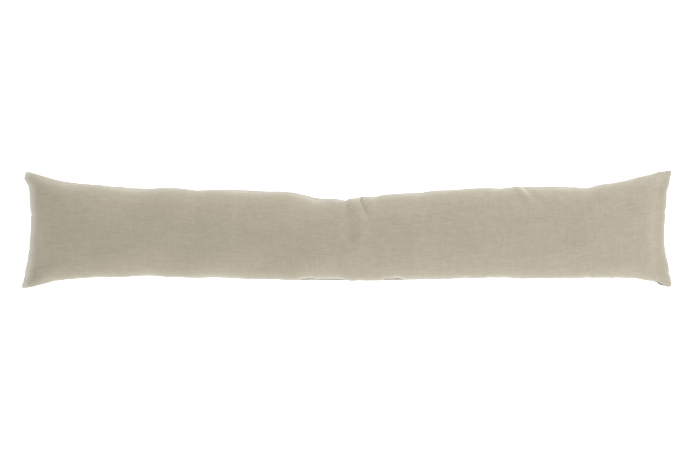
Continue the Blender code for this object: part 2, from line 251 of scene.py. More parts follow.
# Along the lower seam: place along X, depth of the groove, how far the seam lies in from
# the outline, so that the back strip shows past it, and how dark it is painted, as painted
# shadow
LowerRow = namedtuple("LowerRow", "along groove inset shade")
LOWER_SEAM = (
    LowerRow(-0.110, 0.0009, 0.0000, 0.0),
    LowerRow(-0.078, 0.0009, 0.0000, 0.0),
    LowerRow(-0.070, 0.0009, 0.0000, 0.0),
    LowerRow(-0.059, 0.0003, 0.0036, 0.55),
    LowerRow(-0.047, 0.0003, 0.0036, 0.60),
    LowerRow(-0.041, 0.0004, 0.0026, 0.15),
    LowerRow(-0.036, 0.0003, 0.0023, 0.65),
    LowerRow(-0.020, 0.0003, 0.0023, 0.85),
    LowerRow(-0.004, 0.0003, 0.0021, 0.65),
    LowerRow(0.004, 0.0008, 0.0004, 0.0),
    LowerRow(0.020, 0.0009, 0.0000, 0.0),
    LowerRow(0.041, 0.0009, 0.0000, 0.0),
    LowerRow(0.047, 0.0009, 0.0003, 0.0),
    LowerRow(0.053, 0.0003, 0.0041, 0.90),
    LowerRow(0.058, 0.0003, 0.0043, 1.00),
    LowerRow(0.064, 0.0003, 0.0041, 0.45),
    LowerRow(0.074, 0.0003, 0.0038, 0.80),
    LowerRow(0.082, 0.0009, 0.0008, 0.0),
    LowerRow(0.090, 0.0009, 0.0000, 0.0),
    LowerRow(0.100, 0.0009, 0.0000, 0.0),
    LowerRow(0.400, 0.0009, 0.0000, 0.0),
    LowerRow(0.418, 0.0009, 0.0000, 0.0),
    LowerRow(0.424, 0.0009, 0.0002, 0.0),
    LowerRow(0.431, 0.0003, 0.0034, 0.70),
    LowerRow(0.436, 0.0003, 0.0038, 0.90),
    LowerRow(0.441, 0.0003, 0.0026, 0.70),
    LowerRow(0.446, 0.0006, 0.0000, 0.0),
)
FRONT_INSET_REACH = 0.018  # how far from the seam a strip gives way with it
BACK_INSET_REACH = 0.0018
UPPER_GROOVE = 0.0009
EDGE_ROOM = 0.0003  # the outline is this much wider at first, as the grooves draw it in

# Slow unevenness of the filling, and puckers drawn by the sewing
LUMP_HEIGHT = 0.00055
LUMP_WAVES = (  # wave length, phase, skew
    (0.190, 0.9, 0.5),
    (0.118, 2.6, -0.9),
    (0.310, 4.0, 1.6),
    (0.083, 1.2, 0.3),
    (0.143, 5.1, -2.4),
)
BACK_LUMP_SHARE = 0.3
PUCKER_SEED = 5
PUCKER_SPACING = 0.0125  # mean distance from one pucker to the next
PUCKER_HEIGHT = 0.00042
PUCKER_WIDTHS = (0.0024, 0.0062)
PUCKER_REACHES = (0.006, 0.022)
PUCKER_SLANT = 0.35
PUCKER_HOLD = 0.0035  # closer to the seam than this the thread holds the cloth flat

# Simulation of the cloth
SIM_COLUMNS, SIM_ROWS = 190, 34
SIM_FRAMES = 18
SIM_LENGTH_SPARE = 1.006  # the cloth is this much longer than the form it lies on
SIM_CAP = 0.0035  # no crease of the simulation moves a point further than this
SIM_SHARE = 0.9  # of the simulation's creases, how much is kept
SLOW_PASSES = 40  # smoothing that tells the simulation's slow drift from its creases
SEAM_MATCH = 0.008  # over this distance both strips' creases become alike
CLOTH_SETTINGS = {
    "quality": 5,
    "mass": 0.005,
    "air_damping": 1.0,
    "tension_stiffness": 40,
    "compression_stiffness": 25,
    "shear_stiffness": 8,
    "bending_stiffness": 0.4,
    "tension_damping": 5,
    "compression_damping": 5,
    "shear_damping": 5,
    "bending_damping": 0.5,
    "use_pressure": True,
    "uniform_pressure_force": 0.0,
    "use_pressure_volume": True,
    "pressure_factor": 250,
}

# Fine mesh: distances from a seam to the first rows, then even rows
EDGE_STEPS = (0.0, 0.0004, 0.0009, 0.0015, 0.0023, 0.0034, 0.0048)
FINE_PITCH = 0.0020

# Texture maps, in the cloth's own metres
BACK_APART = 0.4  # the back strip's weave is laid out this far from the front strip's
BAKE_PARTS = 3
BAKE_MARGIN = 0.008

# Weave
THREAD_PITCH = 0.00105
DRIFT = 0.0009  # a thread wanders this far to either side
WARP_DRIFT_SCALE, WEFT_DRIFT_SCALE = 55.0, 47.0
THREAD_FLATNESS = 0.55  # power that flattens a thread's top across it
THREAD_DIP = 1.1  # power that bends it along its length, down under the next thread

# Uneven yarn: how thick and how long its streaks are, where their noise is cut, and how
# much they tell in the colour where they run along the cushion and across it
Yarn = namedtuple("Yarn", "thick long cut along across")
FINE_YARN = Yarn(0.0017, 0.019, 3.1, 0.70, 0.45)
SLUB_YARN = Yarn(0.0026, 0.009, 11.7, 0.70, 0.45)
BROAD_YARN = Yarn(0.0065, 0.060, 23.5, 0.30, 0.25)
CROSS_CUT = 7.0  # further on in the noise, for the streaks across
CLOUD_SCALE, CLOUD_DETAIL, CLOUD_WEIGHT = 14.0, 3.0, 0.20
STREAK_SCALE, STREAK_DETAIL = 1.0, 1.0
NOISE_MIDDLE = 0.5
MEAN_TONE = 0.5  # half way from the dark linen to the light
# Painted shade of the weave: the gaps between threads are painted darker, the threads' tops
# paler
WEAVE_MIDDLE, WEAVE_SHADE_WEIGHT = 0.55, 0.30  # the gaps between threads are darker

# Relief of the weave, beside the threads' own shape
SLUB_RELIEF, CROSS_SLUB_RELIEF, FINE_RELIEF = 0.9, 0.6, 0.5
BUMP_STRENGTH, BUMP_DISTANCE = 0.55, 0.00028

LINEN_LIGHT = (0.515, 0.467, 0.364, 1.0)
LINEN_DARK = (0.405, 0.362, 0.274, 1.0)
# painted rim light: the paler colour that the cloth is painted near its seams
LINEN_PAINTED_RIM_LIGHT = (0.740, 0.715, 0.650, 1.0)
# painted shade: the dark colour of the seam groove and of the lower seam's marks
LINEN_PAINTED_SHADE = (0.130, 0.112, 0.083, 1.0)
SLUB_SPAN = (0.2, 0.8)  # between these values of the slubs' noise
LINEN_ROUGHNESS = (0.96, 0.82)  # the roughness goes from this to that
LINEN_SHEEN = {"Sheen Weight": 1.0, "Sheen Roughness": 0.30, "Specular IOR Level": 0.25}

WHITE = (1.0, 1.0, 1.0, 1.0)
FLOOR_COLOUR = (0.93, 0.93, 0.925, 1.0)
FLOOR_GLOW = 0.80
FLOOR_ROUGHNESS, FLOOR_SPECULAR = 0.9, 0.1
FLOOR_SIZE = 12.0
FLOOR_DROP = 0.0002  # it lies this far below the cushion, so the two don't flicker


def smooth_steps(x, places, values):
    """A curve through the values at the places, without corners. values may be a grid
    whose first axis follows the places."""
    places, values = np.asarray(places, float), np.asarray(values, float)
    slopes = np.gradient(values, places, axis=0)
    x = np.clip(x, places[0], places[-1])
    left = np.clip(np.searchsorted(places, x, side="right") - 1, 0, len(places) - 2)
    fit = (-1,) + (1,) * (values.ndim - 1)
    span = (places[left + 1] - places[left]).reshape(fit)
    t = (x - places[left]).reshape(fit) / span
    rise = values[left + 1] - values[left]
    start, end = slopes[left] * span, slopes[left + 1] * span
    return (
        values[left]
        + start * t
        + (3 * rise - 2 * start - end) * t**2
        + (start + end - 2 * rise) * t**3
    )


def ease(x):
    """0 below 0, 1 above 1, and a soft rise between."""
    x = np.clip(x, 0.0, 1.0)
    return x * x * (3 - 2 * x)


def bell(distance, reach):
    """1 at no distance, fading out softly past the reach."""
    return np.exp(-((distance / reach) ** 2))


def curve(rows, name, x):
    """A table's named values at x, which is measured as the first value of each row."""
    return smooth_steps(x, [row[0] for row in rows], [getattr(row, name) for row in rows])


def facing(front):
    """The way along Z that a strip faces."""
    return 1 if front else -1


def end_rise(x):
    """Share of its full height that the crown has at x, rounding off at both ends."""
    rising = np.clip(1 - (HALF_LENGTH - np.abs(x)) / END_ROUNDING, 0, 1)
    return np.sqrt(1 - rising**2)


def places_along(count):
    """Places from end to end along X, closer together towards the ends."""
    return HALF_LENGTH * np.sin(np.linspace(-math.pi / 2, math.pi / 2, count))


def path_length(across, up):
    """The length of a line through the points, up to each of them."""
    return np.concatenate([[0], np.cumsum(np.hypot(np.diff(across), np.diff(up)))])


def length_table():
    """Places along X and the grid's u at each, the length of cloth between it and the
    middle where the crown has its full height up to the rounding of the ends."""
    x = places_along(LENGTH_SAMPLES)
    cloth = path_length(x, RISE_SHARE * MOST_CROWN * end_rise(x))
    return x, cloth - cloth[-1] / 2


TABLE_X, TABLE_U = length_table()
FLAT_HALF_LENGTH = TABLE_U[-1]
FLAT_HALF_WIDTH = STRIP_WIDTH / 2


def section(half_width, crown, fullness, shares):
    """y and z of a strip's section at shares of its arc, -1 and 1 being the seams, and
    the length of the arc."""
    t = np.linspace(-math.pi / 2, math.pi / 2, ARC_SAMPLES)
    y = half_width * np.sin(t)
    z = crown * np.abs(np.cos(t)) ** fullness
    arc = path_length(y, z)
    at = (np.asarray(shares) + 1) / 2 * arc[-1]
    return np.interp(at, arc, y), np.interp(at, arc, z), arc[-1]


def crown_of(half_width, fullness):
    """The height to which a strip of this cloth bows between its seams."""
    low, high = 0.0, HIGHEST_BOW
    for _ in range(CROWN_HALVINGS):
        middle = (low + high) / 2
        if section(half_width, middle, fullness, (0,))[2] < STRIP_WIDTH:
            low = middle
        else:
            high = middle
    return low


def crowns_along(places, half_widths, fullness):
    """The crown at each place: the bow of the free cloth, held softly to what the filling
    can lift, and smoothed along the length, so it has no steps."""
    even = np.linspace(-HALF_LENGTH, HALF_LENGTH, CROWN_SAMPLES)
    widths = np.interp(even, places, half_widths)
    free = np.array([crown_of(width, fullness) for width in widths])
    excess = np.log1p(np.exp((MOST_CROWN - free) / CROWN_SOFTNESS))
    limited = np.maximum(MOST_CROWN - CROWN_SOFTNESS * excess, LEAST_CROWN)
    reach = int(CROWN_WINDOW * CROWN_SPREAD / (even[1] - even[0]))
    weights = np.exp(-(np.linspace(-CROWN_WINDOW, CROWN_WINDOW, 2 * reach + 1) ** 2) / 2)
    soft = np.convolve(np.pad(limited, reach, "edge"), weights / weights.sum(), "valid")
    return np.interp(places, even, soft) * end_rise(places)


def surface_table():
    """Places along X and the true mean length of the surface between each and the middle.
    It gives the distance to an end and the weave's place, where u would be a little off."""
    x = places_along(SURFACE_SAMPLES)
    half_widths = (curve(OUTLINE, "upper", x) - curve(OUTLINE, "lower", x)) / 2
    length = path_length(x, RISE_SHARE * crowns_along(x, half_widths, FRONT_FULLNESS))
    return x, length - length[-1] / 2


SURFACE_X, SURFACE_U = surface_table()


class Grid:
    """Flat cloth coordinates of both strips, and the distances to their seams."""

    def __init__(self, u, v):
        self.u, self.v = u, v
        self.places = np.interp(u, TABLE_U, TABLE_X)
        self.shares = v / FLAT_HALF_WIDTH
        self.along = np.interp(self.places, SURFACE_X, SURFACE_U)
        size = (len(u), len(v))
        self.side_gap = np.broadcast_to((FLAT_HALF_WIDTH - np.abs(v))[None, :], size)
        end_gap = SURFACE_U[-1] - np.abs(self.along)
        self.end_gap = np.broadcast_to(end_gap[:, None], size)
        self.gap = np.minimum(self.side_gap, self.end_gap)


def even_grid(columns, rows):
    return Grid(
        np.linspace(-FLAT_HALF_LENGTH, FLAT_HALF_LENGTH, columns + 1),
        np.linspace(-FLAT_HALF_WIDTH, FLAT_HALF_WIDTH, rows + 1),
    )


def fine_grid():
    """Rows and columns crowd together at the seams."""
    sides = []
    for half in (FLAT_HALF_LENGTH, FLAT_HALF_WIDTH):
        inner = half - EDGE_STEPS[-1]
        count = 2 * round(inner / FINE_PITCH)
        middle = np.linspace(-inner, inner, count + 1)
        edge = half - np.array(EDGE_STEPS[:-1])
        sides.append(np.concatenate([-edge, middle, edge[::-1]]))
    return Grid(*sides)


def strip_points(grid, front, seam_plane):
    """The smooth form of one strip: a grid of (x, y, z)."""
    upper = curve(OUTLINE, "upper", grid.places) + EDGE_ROOM
    lower = curve(OUTLINE, "lower", grid.places) - EDGE_ROOM
    half_widths = (upper - lower) / 2
    fullness = FRONT_FULLNESS if front else BACK_FULLNESS
    crowns = crowns_along(grid.places, half_widths, fullness)

    left, right = (grid.places < 0)[:, None], (grid.places >= 0)[:, None]
    left_inset, right_inset, left_height, right_height = (
        curve(END_SEAMS, name, grid.shares) for name in EndRow._fields[1:]
    )
    inset = left * left_inset - right * right_inset
    end_height = left * left_height + right * right_height
    from_end = (HALF_LENGTH - np.abs(grid.places))[:, None]
    drawn = inset * (1 - ease(from_end / END_DRAW_REACH))
    level = end_height + (seam_plane - end_height) * ease(from_end / END_HEIGHT_REACH)

    ear = 1 - ease(np.hypot(from_end, grid.side_gap) / EAR_REACH)
    thickness = SEAM_THICKNESS + (EAR_THICKNESS - SEAM_THICKNESS) * ear
    rolled = 1 - bell(grid.gap, SEAM_ROLL)
    band = SEAM_OPENING + (thickness - SEAM_OPENING) * rolled

    points = np.empty((len(grid.u), len(grid.v), 3))
    for i, (width, crown) in enumerate(zip(half_widths, crowns)):
        y, z, _ = section(width, crown, fullness, grid.shares)
        points[i, :, 0] = grid.places[i] + drawn[i]
        points[i, :, 1] = (upper[i] + lower[i]) / 2 + y
        points[i, :, 2] = level[i] + facing(front) * (z + band[i] / 2)
    return points


def normals_of(points, front):
    """Unit normals of a grid of points, pointing out of the cushion."""
    across = np.cross(np.gradient(points, axis=0), np.gradient(points, axis=1))
    if not front:
        across = -across
    return across / np.maximum(np.linalg.norm(across, axis=2, keepdims=True), TINY)


def fold_heights(x, y, folds):
    """Height of all folds at each point seen from above."""
    total = np.zeros_like(x)
    for fold in folds:
        run_x, run_y = fold.x_end - fold.x_start, fold.y_end - fold.y_start
        length = math.hypot(run_x, run_y)
        along = ((x - fold.x_start) * run_x + (y - fold.y_start) * run_y) / length
        across = ((x - fold.x_start) * run_y - (y - fold.y_start) * run_x) / length
        share = along / length
        before = bell(np.minimum(along, 0), FOLD_LEAD * fold.half_width)
        worn = np.clip(share, 0, 1) * FOLD_FADING + np.maximum(share - 1, 0)
        total += fold.height * before * (1 - ease(worn)) * bell(across, fold.half_width)
    return total


def lump_heights(x, y, front):
    """The filling's slow waves at each point seen from above."""
    total = np.zeros_like(x)
    for length, phase, skew in LUMP_WAVES:
        total += np.sin(2 * math.pi * (x + skew * y) / length + phase)
    return LUMP_HEIGHT * total * (1 if front else BACK_LUMP_SHARE)


def pucker_heights(grid):
    """Short ripples that run in from each seam at uneven places, both strips alike."""
    draw = np.random.default_rng(PUCKER_SEED)
    total = np.zeros(grid.gap.shape)
    for gap, run, across, half in (
        (grid.side_gap, grid.u[:, None], grid.v[None, :], FLAT_HALF_LENGTH),
        (grid.end_gap, grid.v[None, :], grid.u[:, None], FLAT_HALF_WIDTH),
    ):
        for side in (-1, 1):
            count = round(2 * half / PUCKER_SPACING)
            ripples = np.zeros(grid.gap.shape)
            for place, width, reach, slant, height in zip(
                draw.uniform(-half, half, count),
                draw.uniform(*PUCKER_WIDTHS, count),
                draw.uniform(*PUCKER_REACHES, count),
                draw.normal(0, PUCKER_SLANT, count),
                draw.normal(0, PUCKER_HEIGHT, count),
            ):
                spread = width * (1 + gap / reach)
                from_line = (run - place - slant * gap) / spread
                ripples += height * np.exp(-(from_line**2) - gap / reach)
            held = 1 - bell(gap, PUCKER_HOLD)
            total += ripples * held * (np.sign(across) == side)
    return total


def edge_heights(grid):
    """The rise over the turned allowances, and the crease that sets off each ear."""
    side_lift = ALLOWANCE_HEIGHT * bell(grid.side_gap - ALLOWANCE_PLACE, ALLOWANCE_REACH)
    end_lift = END_ALLOWANCE_HEIGHT * bell(grid.end_gap - ALLOWANCE_PLACE, ALLOWANCE_REACH)
    from_corner = np.hypot(grid.side_gap, grid.end_gap)
    crease = EAR_CREASE * bell(from_corner - EAR_CREASE_PLACE, EAR_CREASE_REACH)
    return np.maximum(side_lift, end_lift) + crease


def relief(grid, points, front):
    """Height of the lumps and folds at each point, calmer towards the seams."""
    x, y = points[:, :, 0], points[:, :, 1]
    inside = ease(grid.gap / SEAM_CALM)
    folds = fold_heights(x, y, FRONT_FOLDS if front else BACK_FOLDS)
    kept = FOLD_AT_SEAM + (1 - FOLD_AT_SEAM) * inside
    return inside * lump_heights(x, y, front) + folds * kept


def make_box_grid(columns, rows):
    """A cube cut into a grid on its two large faces, with one face of depth all round,
    and for each strip the numbers of its vertices, column by column."""
    bm = bmesh.new()
    bmesh.ops.create_cube(bm, size=2)
    for axis, pieces in ((0, columns), (1, rows)):
        edges = [e for e in bm.edges if abs(e.verts[0].co[axis] - e.verts[1].co[axis]) > 1]
        bmesh.ops.subdivide_edges(bm, edges=edges, cuts=pieces - 1, use_grid_fill=True)
    mesh = bpy.data.meshes.new("strips")
    bm.to_mesh(mesh)
    bm.free()
    places = np.empty(len(mesh.vertices) * 3)
    mesh.vertices.foreach_get("co", places)
    places = places.reshape(-1, 3)
    column = np.rint((places[:, 0] + 1) / 2 * columns).astype(int)
    row = np.rint((places[:, 1] + 1) / 2 * rows).astype(int)
    numbers = {}
    for front in (True, False):
        chosen = np.flatnonzero((places[:, 2] > 0) == front)
        numbers[front] = np.empty((columns + 1, rows + 1), int)
        numbers[front][column[chosen], row[chosen]] = chosen
    return mesh, numbers


def as_list(strips, numbers):
    """The strips' grids of points as one list in the mesh's order."""
    points = np.empty((sum(n.size for n in numbers.values()), 3))
    for front in (True, False):
        points[numbers[front].ravel()] = strips[front].reshape(-1, 3)
    return points


def volume_of(mesh, points):
    """The volume that a closed mesh holds with its vertices at the points."""
    mesh.calc_loop_triangles()
    corners = np.empty(len(mesh.loop_triangles) * 3, int)
    mesh.loop_triangles.foreach_get("vertices", corners)
    a, b, c = points[corners.reshape(-1, 3)].transpose(1, 0, 2)
    return float(np.einsum("ij,ij->i", a, np.cross(b, c)).sum() / 6)


def simulate(grid, strips):
    """Lets both strips settle as cloth under the filling's pressure, with their flat cut
    as the shape they want to keep, and returns how far each point moved."""
    mesh, numbers = make_box_grid(len(grid.u) - 1, len(grid.v) - 1)
    start = as_list(strips, numbers)
    flat = {}
    for front in (True, False):
        flat[front] = np.empty(grid.gap.shape + (3,))
        flat[front][:, :, 0] = grid.u[:, None] * SIM_LENGTH_SPARE
        flat[front][:, :, 1] = grid.v[None, :]
        flat[front][:, :, 2] = facing(front) * SEAM_OPENING / 2
    mesh.vertices.foreach_set("co", start.ravel())
    cloth = bpy.data.objects.new("cloth_study", mesh)
    bpy.context.scene.collection.objects.link(cloth)
    cloth.shape_key_add(name="start")
    cut = cloth.shape_key_add(name="cut")
    cut.data.foreach_set("co", as_list(flat, numbers).ravel())
    cut.value = 0.0

    modifier = cloth.modifiers.new("cloth", "CLOTH")
    settings = modifier.settings
    for name, value in CLOTH_SETTINGS.items():
        setattr(settings, name, value)
    settings.rest_shape_key = cut
    settings.target_volume = volume_of(mesh, start)
    settings.effector_weights.gravity = 0.0
    modifier.collision_settings.use_collision = False
    modifier.point_cache.frame_start = 1
    modifier.point_cache.frame_end = SIM_FRAMES
    for step in range(1, SIM_FRAMES + 1):
        bpy.context.scene.frame_set(step)
    settled = cloth.evaluated_get(bpy.context.evaluated_depsgraph_get()).data
    end = np.empty(len(settled.vertices) * 3)
    settled.vertices.foreach_get("co", end)
    moved = end.reshape(-1, 3) - start
    bpy.data.objects.remove(cloth)
    bpy.data.meshes.remove(mesh)
    bpy.context.scene.frame_set(1)
    return {front: moved[numbers[front]] for front in (True, False)}


def slow_part(grid_values):
    """The slow part of a grid of values, by repeated averaging with the neighbours."""
    slow = grid_values
    for _ in range(SLOW_PASSES):
        for axis in (0, 1):
            here = np.arange(slow.shape[axis])
            before = np.take(slow, np.maximum(here - 1, 0), axis)
            after = np.take(slow, np.minimum(here + 1, here[-1]), axis)
            slow = (before + 2 * slow + after) / 4
    return slow


def creases_of(grid, moved):
    """Only the creases of the simulated movement, alike on both strips at the seams."""
    creases = {front: moved[front] - slow_part(moved[front]) for front in moved}
    for axis, places, gap in ((0, grid.u, grid.end_gap[:, 0]), (1, grid.v, grid.side_gap[0])):
        for side, edge in ((-1, 0), (1, -1)):
            at_seam = {front: np.take(creases[front], [edge], axis) for front in creases}
            mean = (at_seam[True] + at_seam[False]) / 2
            fade = np.exp(-gap / SEAM_MATCH) * (places * side > 0)
            fade = fade.reshape((-1, 1, 1) if axis == 0 else (1, -1, 1))
            for front in creases:
                creases[front] = creases[front] + fade * (mean - at_seam[front])
    for front in creases:
        strength = np.linalg.norm(creases[front], axis=2, keepdims=True) / SIM_CAP
        limited = creases[front] * SIM_SHARE * np.tanh(strength)
        creases[front] = limited / np.maximum(strength, TINY)
    return creases


def spread_to(fine, coarse, values):
    """A coarse grid's values at the fine grid's places, along both axes."""
    along = smooth_steps(fine.u, coarse.u, values)
    return smooth_steps(fine.v, coarse.v, along.transpose(1, 0, 2)).transpose(1, 0, 2)


def pressed(z):
    """Heights with everything below the floor pressed flat, softly at its rim."""
    lifted = (z + FLOOR_BLEND) ** 2 / (4 * FLOOR_BLEND)
    return np.where(z > FLOOR_BLEND, z, np.where(z < -FLOOR_BLEND, 0.0, lifted))


def shaped(grid, seam_plane):
    """Both strips with their slow relief, centred over the origin."""
    strips = {}
    for front in (True, False):
        points = strip_points(grid, front, seam_plane)
        height = relief(grid, points, front)
        strips[front] = points + normals_of(points, front) * height[:, :, None]
    both = np.concatenate([strips[front].reshape(-1, 3) for front in strips])
    middle = (both.min(axis=0) + both.max(axis=0)) / 2
    middle[2] = 0
    return {front: strips[front] - middle for front in strips}


def sew_edge(grid, strips):
    """Draws the cloth in at the seams and puckers it there. Where the lower seam lies in
    from the outline, the back strip shows past it."""
    lower_groove = curve(LOWER_SEAM, "groove", grid.places)[:, None]
    inset = curve(LOWER_SEAM, "inset", grid.places)[:, None]
    height = pucker_heights(grid) + edge_heights(grid)
    side, end = np.sign(grid.v)[None, :], np.sign(grid.u)[:, None]
    groove = np.where(side < 0, lower_groove, UPPER_GROOVE)
    for front in (True, False):
        points = strips[front]
        points += normals_of(points, front) * height[:, :, None]
        points[:, :, 1] -= side * groove * bell(grid.side_gap, GROOVE_REACH)
        points[:, :, 0] -= end * END_GROOVE * bell(grid.end_gap, GROOVE_REACH)
        for notch in NOTCHES:
            near = bell(points[:, :, 1] - notch.across, NOTCH_WIDTH) * (end == notch.end)
            dip = notch.depth * near * np.exp(-grid.end_gap / NOTCH_REACH)
            points[:, :, 0] -= end * dip
            points[:, :, 2] -= facing(front) * dip * ease(grid.gap / SEAM_ROLL) / 2
        reach = FRONT_INSET_REACH if front else BACK_INSET_REACH
        points[:, :, 1] += inset * np.exp(-grid.side_gap / reach) * (side < 0)
    return strips


def add_uv_maps(mesh, grid, numbers):
    """cloth: the cloth in metres, for the weave. OFBake: each strip's flat cut in three
    parts, all in one square. A face of the seam lies beside the front strip in both."""
    strip_of = np.empty(len(mesh.vertices), int)
    flat = np.empty((len(mesh.vertices), 2))
    along = np.empty(len(mesh.vertices))
    u, v = np.meshgrid(grid.u, grid.v, indexing="ij")
    for front in (True, False):
        chosen = numbers[front].ravel()
        strip_of[chosen] = 1 if front else 0
        flat[chosen] = np.stack([u.ravel(), v.ravel()], axis=1)
        along[chosen] = np.repeat(grid.along, len(grid.v))
    corner = np.empty(len(mesh.loops), int)
    mesh.loops.foreach_get("vertex_index", corner)
    sizes = np.empty(len(mesh.polygons), int)
    mesh.polygons.foreach_get("loop_total", sizes)
    face = np.repeat(np.arange(len(sizes)), sizes)

    loop_flat, loop_strip = flat[corner], strip_of[corner]
    face_front = np.zeros(len(sizes), bool)
    np.logical_or.at(face_front, face, loop_strip == 1)
    crossing = face_front[face] & (loop_strip == 0)
    on_end = np.isclose(np.abs(loop_flat[:, 0]), FLAT_HALF_LENGTH)
    on_side = np.isclose(np.abs(loop_flat[:, 1]), FLAT_HALF_WIDTH)
    outward = np.sign(loop_flat) * np.stack([on_end, on_side], axis=1)
    past_seam = outward * crossing[:, None] * SEAM_OPENING
    loop_flat = loop_flat + past_seam

    cloth = mesh.uv_layers.new(name="cloth")
    weave_along = along[corner] + past_seam[:, 0]
    weave_across = loop_flat[:, 1] + np.where(face_front[face], 0.0, BACK_APART)
    cloth.uv.foreach_set("vector", np.stack([weave_along, weave_across], axis=1).ravel())

    middles = np.zeros(len(sizes))
    np.add.at(middles, face, loop_flat[:, 0] / sizes[face])
    length = 2 * FLAT_HALF_LENGTH / BAKE_PARTS
    part = np.clip(np.floor((middles + FLAT_HALF_LENGTH) / length), 0, BAKE_PARTS - 1)[face]
    cell_x, cell_y = length + 2 * BAKE_MARGIN, STRIP_WIDTH + 2 * BAKE_MARGIN
    scale = 1 / max(2 * cell_x, BAKE_PARTS * cell_y)
    across = loop_flat[:, 0] + FLAT_HALF_LENGTH - part * length + BAKE_MARGIN
    across = across + np.where(face_front[face], 0, cell_x)
    up = loop_flat[:, 1] + FLAT_HALF_WIDTH + BAKE_MARGIN + part * cell_y
    bake = mesh.uv_layers.new(name="OFBake")
    bake.uv.foreach_set("vector", (np.stack([across, up], axis=1) * scale).ravel())
    mesh.uv_layers.active = cloth


def add_painted_light_and_shade(mesh, grid, numbers):
    """Two values at each point. seam is painted shade: the cloth is painted darker in the seam
    groove, and darker still at the lower seam's marks. edge is painted light: how much paler
    the cloth is painted towards a seam, for light on its rims."""
    left, right = (grid.u < 0)[:, None], (grid.u >= 0)[:, None]
    upper, lower = (grid.v >= 0)[None, :], (grid.v < 0)[None, :]
    # the lower seam's marks: painted shadow
    marks = curve(LOWER_SEAM, "shade", grid.places)[:, None] * lower
    painted_seam_shade = SEAM_SHADE * bell(grid.gap, SEAM_SHADE_REACH)
    # edge: painted light, paler towards the seams, most at the upper seam and the left end
    edge = np.maximum(
        UPPER_PAINTED_LIGHT_SHARE * bell(grid.side_gap, UPPER_PAINTED_LIGHT_REACH) * upper
        + LOWER_PAINTED_LIGHT_SHARE * bell(grid.side_gap, LOWER_PAINTED_LIGHT_REACH) * lower,
        LEFT_PAINTED_LIGHT_SHARE * bell(grid.end_gap, LEFT_PAINTED_LIGHT_REACH) * left
        + RIGHT_PAINTED_LIGHT_SHARE * bell(grid.end_gap, RIGHT_PAINTED_LIGHT_REACH) * right,
    )
    seams, edges = np.empty(len(mesh.vertices)), np.empty(len(mesh.vertices))
    for front in (True, False):
        share = FRONT_MARK_SHADE_SHARE if front else 1.0
        reach = FRONT_MARK_SHADE_REACH if front else MARK_SHADE_REACH
        seam = np.maximum(painted_seam_shade, marks * share * bell(grid.side_gap, reach))
        seams[numbers[front].ravel()] = seam.ravel()
        edges[numbers[front].ravel()] = edge.ravel()
    # seam holds painted shade and edge holds painted light
    for name, values in (("seam", seams), ("edge", edges)):
        mesh.attributes.new(name, "FLOAT", "POINT").data.foreach_set("value", values)


def set_inputs(node, values):
    """Sets a node's inputs by their names."""
    for name, value in values.items():
        node.inputs[name].default_value = value


class Builder:
    """Short forms for wiring shader nodes. They return the output that is used next."""

    def __init__(self, tree):
        self.tree = tree

    def node(self, kind, **settings):
        node = self.tree.nodes.new(kind)
        for name, value in settings.items():
            setattr(node, name, value)
        return node

    def feed(self, socket, value):
        """Links a socket to an output, or sets it to a plain value."""
        if isinstance(value, bpy.types.NodeSocket):
            self.tree.links.new(value, socket)
        else:
            socket.default_value = value

    def math(self, operation, *values, clamp=False):
        node = self.node("ShaderNodeMath", operation=operation, use_clamp=clamp)
        for socket, value in zip(node.inputs, values):
            self.feed(socket, value)
        return node.outputs[0]

    def total(self, weighted):
        """The sum of values, each times its weight."""
        total, *others = [self.math("MULTIPLY", value, weight) for value, weight in weighted]
        for other in others:
            total = self.math("ADD", total, other)
        return total

    def combine(self, x, y, z=0.0):
        node = self.node("ShaderNodeCombineXYZ")
        for socket, value in zip(node.inputs, (x, y, z)):
            self.feed(socket, value)
        return node.outputs[0]

    def noise(self, vector, scale, detail=2.0):
        node = self.node("ShaderNodeTexNoise", noise_dimensions="3D")
        set_inputs(node, {"Scale": scale, "Detail": detail})
        self.feed(node.inputs["Vector"], vector)
        return node.outputs["Fac"]

    def drift(self, vector, scale):
        """A noise that moves a thread to either side."""
        return self.spread(self.noise(vector, scale), (0.0, 1.0), (-DRIFT, DRIFT))

    def spread(self, value, span, result):
        """A value that goes through the span, made to go through the result's span."""
        node = self.node("ShaderNodeMapRange")
        for name, number in zip(("From Min", "From Max", "To Min", "To Max"), span + result):
            node.inputs[name].default_value = number
        self.feed(node.inputs["Value"], value)
        return node.outputs["Result"]

    def attribute(self, name):
        return self.node("ShaderNodeAttribute", attribute_name=name).outputs["Fac"]

    def mix(self, factor, first, second):
        node = self.node("ShaderNodeMix", data_type="RGBA")
        for name, value in (("Factor", factor), ("A", first), ("B", second)):
            self.feed(node.inputs[name], value)
        return node.outputs["Result"]


def weave_of(wire, place, along, across):
    """Height of the plain weave: round threads, each over one and under the next."""
    turned = wire.combine(across, along)
    warp_at = wire.math("ADD", along, wire.drift(place, WARP_DRIFT_SCALE))
    weft_at = wire.math("ADD", across, wire.drift(turned, WEFT_DRIFT_SCALE))
    waves = []
    for thread_at in (warp_at, weft_at):
        count = wire.math("DIVIDE", thread_at, THREAD_PITCH)
        waves.append(wire.math("SINE", wire.math("MULTIPLY", count, math.pi)))
    over = wire.math("GREATER_THAN", wire.math("MULTIPLY", *waves), 0.0)
    warp, weft = (wire.math("ABSOLUTE", wave) for wave in waves)
    tops = []
    for own, other in ((warp, weft), (weft, warp)):
        round_top = wire.math("POWER", own, THREAD_FLATNESS)
        tops.append(wire.math("MULTIPLY", round_top, wire.math("POWER", other, THREAD_DIP)))
    under = wire.math("SUBTRACT", 1.0, over)
    return wire.total(((tops[0], over), (tops[1], under)))


